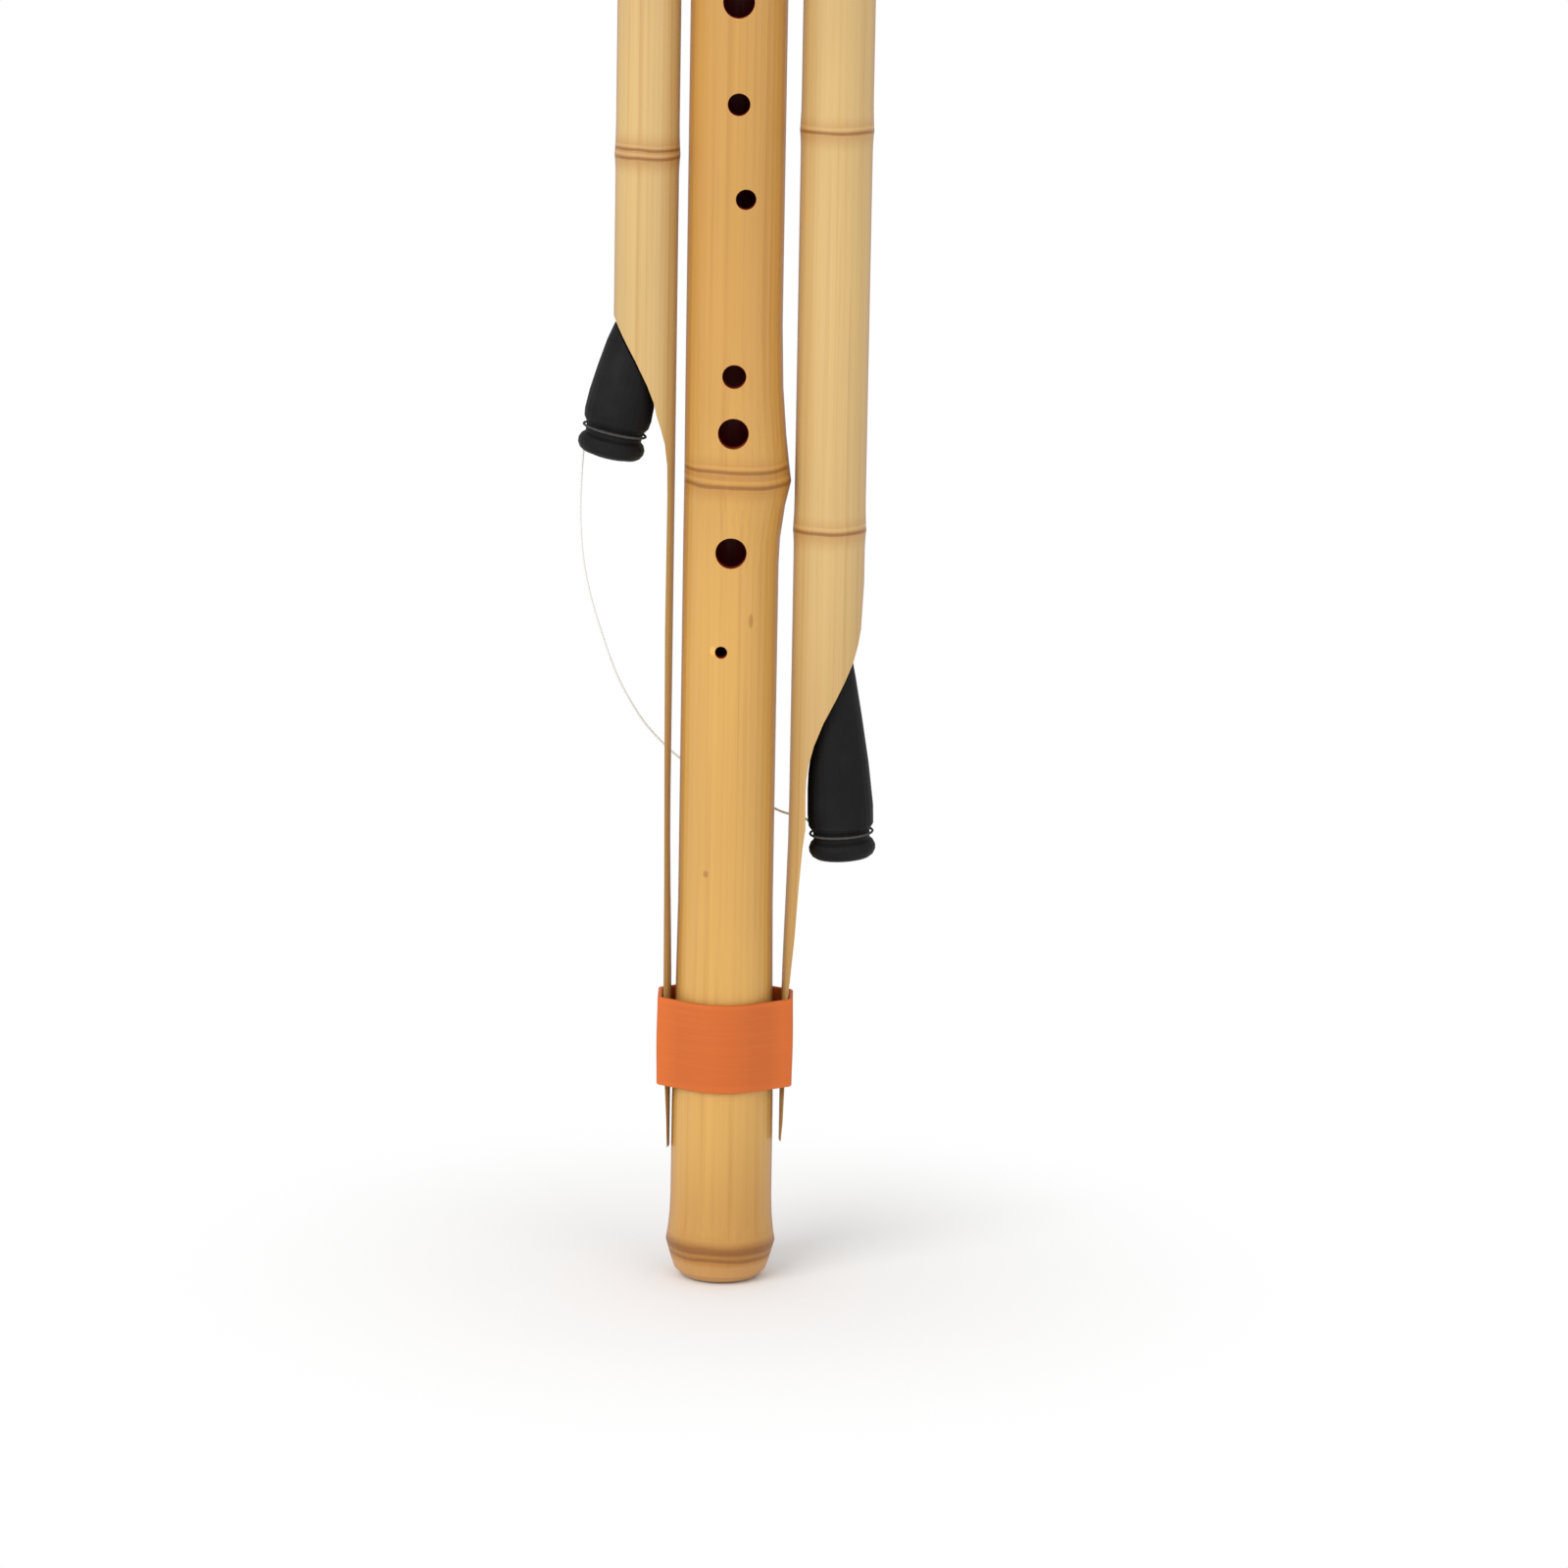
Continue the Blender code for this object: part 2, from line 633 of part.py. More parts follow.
def make_gourd(parts, material):
    """Hollow gourd, cut open at the bottom and at the neck."""
    outer = gourd_profile()
    inner = []
    for i, (r, z) in enumerate(outer):
        before = outer[max(i - 1, 0)]
        after = outer[min(i + 1, len(outer) - 1)]
        along = Vector((after[0] - before[0], after[1] - before[1])).normalized()
        inner.append((r + along.y * GOURD_WALL, z - along.x * GOURD_WALL))
    inner[0] = (outer[0][0] - GOURD_WALL, outer[0][1])
    inner[-1] = (CAP_SPIGOT_R + FIT_GAP, outer[-1][1])
    base_z = CAP_Z + CAP_T + FIT_GAP
    gourd = turned("gourd_shell", outer + list(reversed(inner)), parts, 40, closed=True)
    gourd.location.z = base_z
    return finish(gourd, material), base_z + GOURD_SHAPE[-1][0]


def make_mouthpiece(neck_z, parts, tube_material, collar_material):
    """Blowing tube in the gourd's neck, with a collar round the joint."""
    tube_low = neck_z - TUBE_INSERT
    neck_bore = GOURD_SHAPE[-1][1] - GOURD_WALL
    spigot_r = neck_bore - FIT_GAP
    shoulder = neck_z + FIT_GAP
    tip = shoulder + TUBE_LENGTH
    tube = turned("mouthpiece_tube", [
        (TUBE_TIP_R - TUBE_EDGE, tip), (TUBE_TIP_R, tip - TUBE_EDGE),
        (TUBE_TIP_R + 0.3 * (TUBE_R - TUBE_TIP_R), tip - 0.5 * TUBE_LENGTH),
        (TUBE_R, shoulder), (spigot_r, shoulder), (spigot_r, tube_low),
        (TUBE_BORE_R, tube_low), (TUBE_BORE_R, tip)], parts, 32, closed=True)
    finish(tube, tube_material)
    inner_r = GOURD_SHAPE[-1][1] + FIT_GAP
    low = neck_z - 0.55 * COLLAR_LENGTH
    high = neck_z + 0.45 * COLLAR_LENGTH
    outer_r = inner_r + COLLAR_T
    lip_r = TUBE_R + FIT_GAP
    collar = turned("mouthpiece_collar", [
        (lip_r, high), (outer_r - 0.0012, high), (outer_r, high - 0.0012),
        (outer_r, low + 0.0006), (outer_r - 0.0006, low), (inner_r + 0.0012, low),
        (inner_r, neck_z + FIT_GAP), (lip_r, neck_z + FIT_GAP)], parts, 40, closed=True)
    finish(collar, collar_material)


def make_reed(name, x, radius, face_y, parts, cutters, plate_material, tongue_material):
    """Reed plate on the pipe's flat with a tongue in its slot."""
    width = seat_width(radius) - 2.0 * FIT_GAP
    wide = tongue_width(radius)
    plate_y = face_y - FIT_GAP - REED_PLATE_T / 2.0
    plate = boxes(name + "_reed_plate", (
        ((x, plate_y, REED_CENTRE_Z), (width, REED_PLATE_T, REED_PLATE_LENGTH)),), parts)
    slot = mark_cutter(boxes(name + "_plate_slot", (
        ((x, plate_y, REED_CENTRE_Z),
         (wide + 2.0 * REED_SLOT_MARGIN, 4.0 * REED_PLATE_T,
          REED_TONGUE_LENGTH + 2.0 * REED_SLOT_MARGIN)),), cutters))
    cut(plate, slot)
    baked(plate)
    plate.data.materials.clear()
    plate.data.materials.append(plate_material)
    tongue = boxes(name + "_reed_tongue", (
        ((0.0, 0.0, REED_TONGUE_LENGTH / 2.0), (wide, REED_TONGUE_T, REED_TONGUE_LENGTH)),),
        parts)
    tongue.location = (x, plate_y, REED_CENTRE_Z - REED_TONGUE_LENGTH / 2.0)
    tongue.data.materials.append(tongue_material)
    print(name, "tongue hinge", [round(value, 5) for value in tongue.location])


def main():
    """Build the whole instrument."""
    clear_scene()
    parts = make_collection("hulusi")
    cutters = make_collection("cutters")
    bamboo = make_material("melody_bamboo", (0.76, 0.45, 0.14), 0.38)
    pale_bamboo = make_material("drone_bamboo", (0.78, 0.51, 0.22), 0.42)
    gourd_skin = make_material("gourd_skin", (0.62, 0.36, 0.12), 0.35)
    dark_cap = make_material("cap_plastic", (0.05, 0.03, 0.02), 0.4)
    cork = make_material("gasket_rubber", (0.12, 0.07, 0.04), 0.8)
    brass = make_material("reed_brass", (0.75, 0.52, 0.2), 0.3, 1.0)
    tongue_brass = make_material("tongue_brass", (0.8, 0.58, 0.26), 0.25, 1.0)
    band_rubber = make_material("band_rubber", (0.72, 0.19, 0.04), 0.6)
    plug_rubber = make_material("plug_rubber", (0.012, 0.012, 0.014), 0.65)
    thread = make_material("thread_cotton", (0.8, 0.8, 0.78), 0.9)
    collar_wood = make_material("collar_plastic", (0.05, 0.03, 0.02), 0.4)
    tube_wood = make_material("mouthpiece_plastic", (0.08, 0.045, 0.025), 0.35)

    faces = {"main": make_main_pipe(parts, cutters, bamboo)}
    faces["left"] = make_drone(
        "left_drone_pipe", LEFT_X, LEFT_R, LEFT_BORE_R, (LEFT_NODE_Z,), LEFT_HEAD_Z,
        LEFT_END_Z, LEFT_PULL_IN, LEFT_CUT, parts, cutters, pale_bamboo)
    faces["right"] = make_drone(
        "right_drone_pipe", RIGHT_X, RIGHT_R, RIGHT_BORE_R, RIGHT_NODE_HEIGHTS, RIGHT_HEAD_Z,
        RIGHT_END_Z, RIGHT_PULL_IN, RIGHT_CUT, parts, cutters, pale_bamboo)
    make_plug("left_plug", LEFT_BEAD_X, LEFT_BEAD_Z, LEFT_TILT, LEFT_BODY, LEFT_SHANK,
              LEFT_CUT, parts, cutters, plug_rubber)
    make_plug("right_plug", RIGHT_BEAD_X, RIGHT_BEAD_Z, RIGHT_TILT, RIGHT_BODY, RIGHT_SHANK,
              RIGHT_CUT, parts, cutters, plug_rubber)
    make_tie("left_plug_tie", LEFT_BEAD_X, LEFT_BEAD_Z, LEFT_TILT, parts, thread)
    make_tie("right_plug_tie", RIGHT_BEAD_X, RIGHT_BEAD_Z, RIGHT_TILT, parts, thread)
    make_thread(parts, thread)
    make_band(parts, band_rubber)
    make_base(parts, cutters, dark_cap, cork)
    gourd, neck_z = make_gourd(parts, gourd_skin)
    make_mouthpiece(neck_z, parts, tube_wood, collar_wood)
    for name, x, radius in (("main", 0.0, MAIN_R), ("left", LEFT_X, LEFT_R),
                            ("right", RIGHT_X, RIGHT_R)):
        make_reed(name, x, radius, faces[name], parts, cutters, brass, tongue_brass)


main()
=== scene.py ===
"""Hulusi looks: bamboo pipes, gourd wind chest, rubber stoppers on a thread, orange band."""
import math

import bpy
import numpy as np
from mathutils import Matrix, Vector


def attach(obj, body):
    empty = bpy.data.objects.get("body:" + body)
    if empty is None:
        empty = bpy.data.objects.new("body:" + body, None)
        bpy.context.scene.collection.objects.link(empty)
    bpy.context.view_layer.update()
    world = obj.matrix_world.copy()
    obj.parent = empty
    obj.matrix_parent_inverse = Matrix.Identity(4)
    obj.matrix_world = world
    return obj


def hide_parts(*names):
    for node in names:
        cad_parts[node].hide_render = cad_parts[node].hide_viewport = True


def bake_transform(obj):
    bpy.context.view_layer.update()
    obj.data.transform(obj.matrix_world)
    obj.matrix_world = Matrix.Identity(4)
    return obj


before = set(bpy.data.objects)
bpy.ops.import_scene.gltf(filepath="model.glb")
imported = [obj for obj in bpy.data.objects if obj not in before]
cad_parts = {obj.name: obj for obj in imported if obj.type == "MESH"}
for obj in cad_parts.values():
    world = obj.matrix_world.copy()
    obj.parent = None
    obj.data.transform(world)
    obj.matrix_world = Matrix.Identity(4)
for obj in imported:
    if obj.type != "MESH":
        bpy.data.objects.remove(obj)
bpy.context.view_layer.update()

bl_info = {
    "name": "Hulusi looks",
    "version": (1, 1, 0),
    "blender": (4, 5, 0),
    "location": "3D View > Sidebar > Hulusi",
    "description": "Dresses the hulusi's solids with bamboo, gourd, rubber and thread",
    "category": "Object",
}

# Camera frame, floor and lamps
IMAGE_SIDE = 1600.0
SENSOR = 36.0
AIM = Vector((0.0110, 0.0, 0.0983))
CLIP_START = 0.05
FLOOR_SIZE = 8.0
FLOOR_DROP = 0.0006
FLOOR_FADE = (0.02, 0.12)
LAMP_SIZE = 0.9
LAMP_AIM = Vector((0.0, 0.0, 0.15))
KEY_PLACE = (-0.75, -1.0, 0.8)
FILL_PLACE = (0.8, -1.0, 0.5)

# Thread between the stoppers: route from the left tie to the right tie
THREAD_SIDES = 12
THREAD_SPLIT = -0.0150
THREAD_TWIST = 0.0016
ROUTE_STEPS = 46
THREAD_ROUTE = (
    (-0.02720, 0.00470, 0.1680), (-0.02830, 0.00550, 0.1659), (-0.02880, 0.00600, 0.1620),
    (-0.02930, 0.00660, 0.1520), (-0.02890, 0.00730, 0.1425), (-0.02750, 0.00800, 0.1345),
    (-0.02530, 0.00860, 0.1268), (-0.02180, 0.00950, 0.1171), (-0.01790, 0.01000, 0.1100),
    (-0.01440, 0.01030, 0.1055), (-0.00950, 0.01030, 0.1010), (-0.00350, 0.01030, 0.0975),
    (0.00250, 0.01020, 0.0947), (0.00750, 0.01000, 0.0922), (0.01050, 0.00960, 0.0908),
    (0.01320, 0.00850, 0.0903), (0.01520, 0.00670, 0.0901), (0.01620, 0.00500, 0.0896),
    (0.01665, 0.00350, 0.0890),
)

# Ties in the stoppers' neck grooves: bead centre x and z, tilt of the stopper's axis
TIES = (
    ("left_plug_tie", "left_stopper", -0.02325, 0.1641, math.radians(12.0)),
    ("right_plug_tie", "right_stopper", 0.0225, 0.0860, math.radians(-4.0)),
)
TIE_HEIGHT = 0.0030
TIE_RADIUS = 0.00605
TIE_TURNS = 24
TIE_RINGS = 288
PLY_SWELL = 0.06
TIE_SWELL = 0.08

# Pipe axes and radii, as the solids have them
MAIN_PIPE = {"x": 0.0, "radius": 0.00922, "bore": 0.0064}
LEFT_PIPE = {"x": -0.0170, "radius": 0.00605, "bore": 0.00445}
RIGHT_PIPE = {"x": 0.0189, "radius": 0.00685, "bore": 0.0051}
# Node lines: height and half width
FOOT_RING = 0.0066
MAIN_LINES = (
    (0.1606, 0.00045), (0.1578, 0.00055), (FOOT_RING, 0.0010), (0.0047, 0.0005))
LEFT_LINES = ((0.2213, 0.00035), (0.2197, 0.0004))
RIGHT_LINES = ((0.2252, 0.00045), (0.1485, 0.0005))
# Marks on the melody pipe: x, z, half width, half height
BLEMISHES = ((0.0041, 0.1318, 0.0005, 0.0016), (-0.0038, 0.0820, 0.0006, 0.0008))
CHIP = (-0.0031, 0.1259, 0.0006, 0.0010)
HALO = 0.0038

# Gourd: base height, wall, and its outline as height above the base and radius
GOURD_BASE = 0.2923
GOURD_WALL = 0.0035
GOURD_MOUTH = 0.0288
GOURD_SHAPE = (
    (0.0000, 0.0325), (0.0080, 0.0377), (0.0200, 0.0408), (0.0340, 0.0415),
    (0.0480, 0.0392), (0.0600, 0.0338), (0.0690, 0.0272), (0.0770, 0.0224),
    (0.0850, 0.0212), (0.0940, 0.0232), (0.1030, 0.0250), (0.1120, 0.0240),
    (0.1200, 0.0200), (0.1270, 0.0150), (0.1340, 0.0115), (0.1420, 0.0100),
)
GOURD_STEPS = 7
GOURD_SIDES = 144
GOURD_LOBE = 0.007
LOBE_FADE = 0.03
LOBE_TOP = 0.125

# Band: circles it is stretched over as x, y and radius, its heights and thickness
BAND_CIRCLES = (
    (0.0, 0.0, 0.00971), (-0.0117, 0.00373, 0.0), (-0.0117, -0.00373, 0.0),
    (0.0123, 0.0036, 0.0), (0.0123, -0.0036, 0.0),
)
BAND_LOW = 0.0388
BAND_HIGH = 0.0564
BAND_GAP = 0.0003
BAND_THICKNESS = 0.0009
BAND_EDGE = 0.00035
BAND_BULGE = 0.00012
BAND_SIDES = 360
BAND_ROWS = 22
BAND_CORNER = 6


def linear(red, green, blue):
    """Return a linear colour from one written in 0 to 255."""
    def one(value):
        value /= 255.0
        return value / 12.92 if value <= 0.04045 else ((value + 0.055) / 1.055) ** 2.4
    return (one(red), one(green), one(blue))


def colour_property(name, description, red, green, blue):
    """Return a colour property with this default."""
    return bpy.props.FloatVectorProperty(
        name=name, description=description, subtype="COLOR", size=3, min=0.0, max=1.0,
        default=linear(red, green, blue))


class HulusiLooks(bpy.types.PropertyGroup):
    """Colours and sizes of the instrument's pieces."""

    melody: colour_property("Melody pipe", "Rind of the melody pipe", 203, 156, 82)
    drone: colour_property("Drone pipes", "Rind of the two drone pipes", 201, 168, 110)
    # The fibre colour also tints the painted shade along the pipes' edges.
    fibre: colour_property("Fibres", "Darker fibres and turned edges", 158, 98, 36)
    band: colour_property("Band", "Elastic band", 192, 94, 31)
    rubber: colour_property("Stoppers", "Rubber of the stoppers", 19, 19, 20)
    gourd: colour_property("Gourd", "Skin of the gourd", 196, 150, 86)
    cap: colour_property("Cap", "Base cap and collar", 70, 42, 28)
    brass: colour_property("Reeds", "Brass of the reeds", 214, 172, 94)
    thread: bpy.props.FloatProperty(
        name="Thread", description="Diameter of the thread", default=0.0005, min=0.0003,
        max=0.002, unit="LENGTH")


class HulusiStage(bpy.types.PropertyGroup):
    """Camera and lights."""

    focal: bpy.props.FloatProperty(
        name="Focal length", description="Focal length in image pixels", default=6316.0)
    distance: bpy.props.FloatProperty(
        name="Distance", description="Camera distance from the aim", default=1.2,
        unit="LENGTH")
    pitch: bpy.props.FloatProperty(
        name="Pitch", description="Camera's look downwards", default=math.radians(12.0),
        unit="ROTATION")
    roll: bpy.props.FloatProperty(
        name="Roll", description="Camera's turn about its view", default=math.radians(1.01),
        unit="ROTATION")
    key: bpy.props.FloatProperty(
        name="Key lamp", description="Power of the lamp at the left", default=11.0,
        unit="POWER")
    fill: bpy.props.FloatProperty(
        name="Fill lamp", description="Power of the lamp at the right", default=3.0,
        unit="POWER")
    ambient: bpy.props.FloatProperty(
        name="Ambient", description="Strength of the surrounding light", default=0.72)


class Value:
    """A number socket that takes part in Python arithmetic."""

    def __init__(self, graph, socket):
        self.graph = graph
        self.socket = socket

    def __add__(self, other):
        return self.graph.math("ADD", self, other)

    __radd__ = __add__

    def __sub__(self, other):
        return self.graph.math("SUBTRACT", self, other)

    def __rsub__(self, other):
        return self.graph.math("SUBTRACT", other, self)

    def __mul__(self, other):
        return self.graph.math("MULTIPLY", self, other)

    __rmul__ = __mul__

    def __truediv__(self, other):
        return self.graph.math("DIVIDE", self, other)

    def __abs__(self):
        return self.graph.math("ABSOLUTE", self)


class Graph:
    """One material's node tree."""

    def __init__(self, name, roughness=0.5, metallic=0.0, specular=0.5):
        self.material = bpy.data.materials.new(name)
        self.material.use_nodes = True
        self.tree = self.material.node_tree
        self.shader = self.tree.nodes["Principled BSDF"]
        self.shader.inputs["Roughness"].default_value = roughness
        self.shader.inputs["Metallic"].default_value = metallic
        self.shader.inputs["Specular IOR Level"].default_value = specular

    def put(self, socket, value):
        """Feed a socket with a value, a link or a constant."""
        if isinstance(value, Value):
            self.tree.links.new(value.socket, socket)
        elif isinstance(value, bpy.types.NodeSocket):
            self.tree.links.new(value, socket)
        elif socket.type == "RGBA" and len(value) == 3:
            socket.default_value = (*value, 1.0)
        else:
            socket.default_value = value

    def node(self, kind, settings=None, inputs=None):
        """Add a node of this type, set it up, and feed its inputs."""
        made = self.tree.nodes.new(kind)
        for key, value in (settings or {}).items():
            setattr(made, key, value)
        for key, value in (inputs or {}).items():
            self.put(made.inputs[key], value)
        return made

    def math(self, operation, a, b=None):
        """Add a Math node."""
        inputs = {0: a} if b is None else {0: a, 1: b}
        made = self.node("ShaderNodeMath", {"operation": operation}, inputs)
        return Value(self, made.outputs[0])

    def place(self):
        """Return the object's own coordinates and their three parts."""
        coordinates = self.node("ShaderNodeTexCoord").outputs["Object"]
        parts = self.node("ShaderNodeSeparateXYZ", inputs={0: coordinates})
        return coordinates, [Value(self, parts.outputs[i]) for i in range(3)]

    def noise(self, coordinates, scale, detail=3.0, roughness=0.55, stretch=(1.0, 1.0, 1.0)):
        """Return noise on stretched coordinates."""
        mapped = self.node("ShaderNodeMapping", inputs={0: coordinates, "Scale": stretch})
        made = self.node("ShaderNodeTexNoise", inputs={
            "Vector": mapped.outputs[0], "Scale": scale, "Detail": detail,
            "Roughness": roughness})
        return Value(self, made.outputs["Fac"])

    def step(self, value, low, high):
        """Return a smooth step from 0 at low to 1 at high."""
        made = self.node("ShaderNodeMapRange", {"interpolation_type": "SMOOTHSTEP"}, {
            0: value, 1: low, 2: high, 3: 0.0, 4: 1.0})
        return Value(self, made.outputs[0])

    def mix(self, factor, a, b):
        """Return a colour mixed from a to b."""
        made = self.node("ShaderNodeMix", {"data_type": "RGBA"}, {0: factor, 6: a, 7: b})
        return made.outputs[2]

    def facing(self, blend):
        """Return how much a surface turns away from the eye."""
        made = self.node("ShaderNodeLayerWeight", inputs={"Blend": blend})
        return Value(self, made.outputs["Facing"])

    def spot(self, x, z, mark):
        """Return 1 in the middle of an oval patch and 0 outside it."""
        centre_x, centre_z, half_x, half_z = mark
        across, along = (x - centre_x) / half_x, (z - centre_z) / half_z
        return 1.0 - self.step(across * across + along * along, 0.2, 1.2)

    def bump(self, height, strength, distance):
        """Feed the shader's normal with a bump."""
        made = self.node("ShaderNodeBump", inputs={
            "Height": height, "Strength": strength, "Distance": distance})
        self.put(self.shader.inputs["Normal"], made.outputs[0])

    def colour(self, value):
        """Feed the base colour."""
        self.put(self.shader.inputs["Base Color"], value)

    def roughness(self, value):
        """Feed the roughness."""
        self.put(self.shader.inputs["Roughness"], value)


def shade(colour, amount):
    """Return a colour made darker or lighter by this factor."""
    return tuple(min(1.0, part * amount) for part in colour)


def bamboo(name, pipe, tone, fibre_tone, lines, melody):
    """Bamboo rind: fibre streaks along the pipe, warm patches, painted shade where the surface
    turns from the eye, node lines.
    """
    graph = Graph(name, roughness=0.36, specular=0.4)
    place, (x, y, z) = graph.place()
    fine = graph.noise(place, 1.0, 4.0, 0.6, (3200.0, 3200.0, 16.0))
    streaks = graph.noise(place, 1.0, 3.0, 0.55, (900.0, 900.0, 6.0))
    patches = graph.noise(place, 1.0, 2.0, 0.5, (60.0, 60.0, 22.0))
    colour = graph.mix(graph.step(patches, 0.30, 0.72), tone, shade(tone, 0.93))
    colour = graph.mix(graph.step(streaks, 0.50, 0.78) * 0.30, colour, fibre_tone)
    colour = graph.mix(graph.step(fine, 0.50, 0.80) * 0.26, colour, fibre_tone)
    colour = graph.mix(graph.step(streaks, 0.50, 0.22) * 0.25, colour, shade(tone, 1.18))
    # Painted shade: fibre colour darkens the pipe where it turns away from the eye, along its
    # edges.
    turned = graph.facing(0.5)
    colour = graph.mix(graph.step(turned, 0.50, 1.0) * 0.8, colour, shade(fibre_tone, 0.85))
    wobble = (graph.noise(place, 90.0, 1.0) - 0.5) * 0.0012
    total = 0.0
    for height, half in lines:
        away = abs(z - height + wobble)
        total = total + (1.0 - graph.step(away, half * 0.3, half))
        colour = graph.mix((1.0 - graph.step(away, 0.0, HALO)) * 0.38, colour, fibre_tone)
        above = abs(z - (height + half * 1.9) + wobble)
        pale = 1.0 - graph.step(above, half * 0.2, half * 0.9)
        colour = graph.mix(pale * 0.35, colour, shade(tone, 1.2))
    line_tone = shade(fibre_tone, 0.62)
    colour = graph.mix(graph.math("MINIMUM", total, 1.0) * 0.72, colour, line_tone)
    from_axis = x - pipe["x"]
    radial = graph.math("SQRT", from_axis * from_axis + y * y)
    if melody:
        upper = graph.step(z, 0.120, 0.200)
        colour = graph.mix(upper * 0.22, colour, fibre_tone)
        for mark in BLEMISHES:
            colour = graph.mix(graph.spot(x, z, mark) * 0.45, colour, line_tone)
        colour = graph.mix(graph.spot(x, z, CHIP) * 0.7, colour, shade(tone, 1.35))
        foot = 1.0 - graph.step(z, 0.0030, 0.0040)
        colour = graph.mix(foot * 0.7, colour, linear(205, 158, 100))
        lower = 1.0 - graph.step(z, 0.006, 0.034)
        colour = graph.mix(lower * 0.30, colour, fibre_tone)
        ring = 1.0 - graph.step(abs(z - FOOT_RING + wobble), 0.0004, 0.0030)
        colour = graph.mix(ring * 0.45, colour, line_tone)
        inside = 1.0 - graph.step(radial, pipe["radius"] - 0.0009, pipe["radius"] - 0.0003)
        inside = inside * graph.step(z, 0.012, 0.014)
        colour = graph.mix(inside, colour, linear(150, 34, 28))
    else:
        # Painted shade: the drones darken towards the bottom, down their tail strips beside the
        # melody pipe.
        lower = 1.0 - graph.step(z, 0.100, 0.150)
        colour = graph.mix(lower * 0.16, colour, fibre_tone)
        cut = 1.0 - graph.step(radial, pipe["radius"] - 0.0004, pipe["radius"] - 0.0002)
        colour = graph.mix(cut * 0.8, colour, linear(214, 176, 122))
        inside = 1.0 - graph.step(radial, pipe["bore"], pipe["bore"] + 0.0002)
        colour = graph.mix(inside * 0.8, colour, linear(120, 80, 40))
    graph.colour(colour)
    graph.roughness(0.30 + fine * 0.2)
    graph.bump(fine * 0.6 + streaks * 0.4 - total * 2.0, 0.3, 0.0002)
    return graph.material


def gourd_skin(tone):
    """Dried gourd: tan skin with brown mottling, darker towards the neck, softly polished."""
    graph = Graph("gourd_skin", roughness=0.35)
    place, (x, y, z) = graph.place()
    broad = graph.noise(place, 24.0, 4.0)
    fine = graph.noise(place, 190.0, 5.0, 0.65)
    lengthwise = graph.noise(place, 1.0, 3.0, 0.5, (110.0, 110.0, 18.0))
    colour = graph.mix(graph.step(broad, 0.36, 0.68), tone, shade(tone, 0.66))
    colour = graph.mix(graph.step(fine, 0.55, 0.8) * 0.5, colour, shade(tone, 0.42))
    colour = graph.mix(graph.step(lengthwise, 0.5, 0.8) * 0.3, colour, shade(tone, 1.25))
    colour = graph.mix(graph.step(z, 0.395, 0.435) * 0.4, colour, shade(tone, 0.5))
    graph.colour(colour)
    graph.roughness(0.26 + fine * 0.22)
    graph.bump(fine * 0.7 + broad * 0.3, 0.15, 0.0004)
    return graph.material


def rubber(name, tone, scale, specular=0.3, sheen=1.5):
    """Matte rubber with fine grain and faint pale patches, partly dusty and partly a painted
    sheen.
    """
    graph = Graph(name, roughness=0.6, specular=specular)
    place = graph.place()[0]
    grain = graph.noise(place, scale, 4.0, 0.7)
    dust_and_sheen = graph.noise(place, scale * 0.08, 3.0)
    # Pale patches: partly dusty, partly painted sheen, lightened by the sheen factor.
    graph.colour(graph.mix(graph.step(dust_and_sheen, 0.4, 0.75) * 0.6, tone, shade(tone, sheen)))
    graph.roughness(0.48 + grain * 0.25)
    graph.bump(grain, 0.2, 0.0001)
    return graph.material


def stretched_rubber(tone):
    """Elastic band: stretch lines round it, paler at its edges and where it bends."""
    graph = Graph("band_rubber", roughness=0.5, specular=0.35)
    place, (x, y, z) = graph.place()
    grain = graph.noise(place, 1300.0, 4.0, 0.7)
    lines = graph.noise(place, 1.0, 3.0, 0.6, (60.0, 60.0, 2400.0))
    bend = graph.step(abs(x), 0.0085, 0.0120)
    middle = (BAND_LOW + BAND_HIGH) / 2.0
    edge = graph.step(abs(z - middle), 0.0070, 0.0088)
    colour = graph.mix(graph.step(lines, 0.45, 0.75) * 0.3, tone, shade(tone, 1.3))
    colour = graph.mix(bend * 0.35, colour, shade(tone, 1.35))
    colour = graph.mix(edge * 0.3, colour, shade(tone, 1.25))
    graph.colour(colour)
    graph.roughness(0.42 + grain * 0.22)
    graph.bump(grain * 0.5 + lines * 0.5, 0.2, 0.0001)
    return graph.material


def moulded(name, tone):
    """Moulded brown plastic with faint turned rings."""
    graph = Graph(name, roughness=0.35)
    place = graph.place()[0]
    rings = graph.noise(place, 1.0, 2.0, 0.5, (20.0, 20.0, 900.0))
    grain = graph.noise(place, 300.0, 3.0)
    graph.colour(graph.mix(graph.step(rings, 0.4, 0.7) * 0.5, tone, shade(tone, 1.7)))
    graph.roughness(0.28 + grain * 0.15)
    graph.bump(rings, 0.08, 0.0002)
    return graph.material


def brass(name, tone):
    """Rolled brass with scratches along its length and stains."""
    graph = Graph(name, roughness=0.3, metallic=1.0)
    place = graph.place()[0]
    rolled = graph.noise(place, 1.0, 3.0, 0.6, (3000.0, 3000.0, 80.0))
    stain = graph.noise(place, 240.0, 3.0)
    graph.colour(graph.mix(graph.step(stain, 0.45, 0.75), tone, shade(tone, 0.7)))
    graph.roughness(0.22 + rolled * 0.2)
    return graph.material


def cotton(name, tone):
    """Twisted thread: soft fuzz over the plies."""
    graph = Graph(name, roughness=0.9, specular=0.2)
    fuzz = graph.noise(graph.place()[0], 2600.0, 2.0)
    graph.colour(graph.mix(fuzz, tone, shade(tone, 0.75)))
    graph.bump(fuzz, 0.4, 0.0001)
    return graph.material


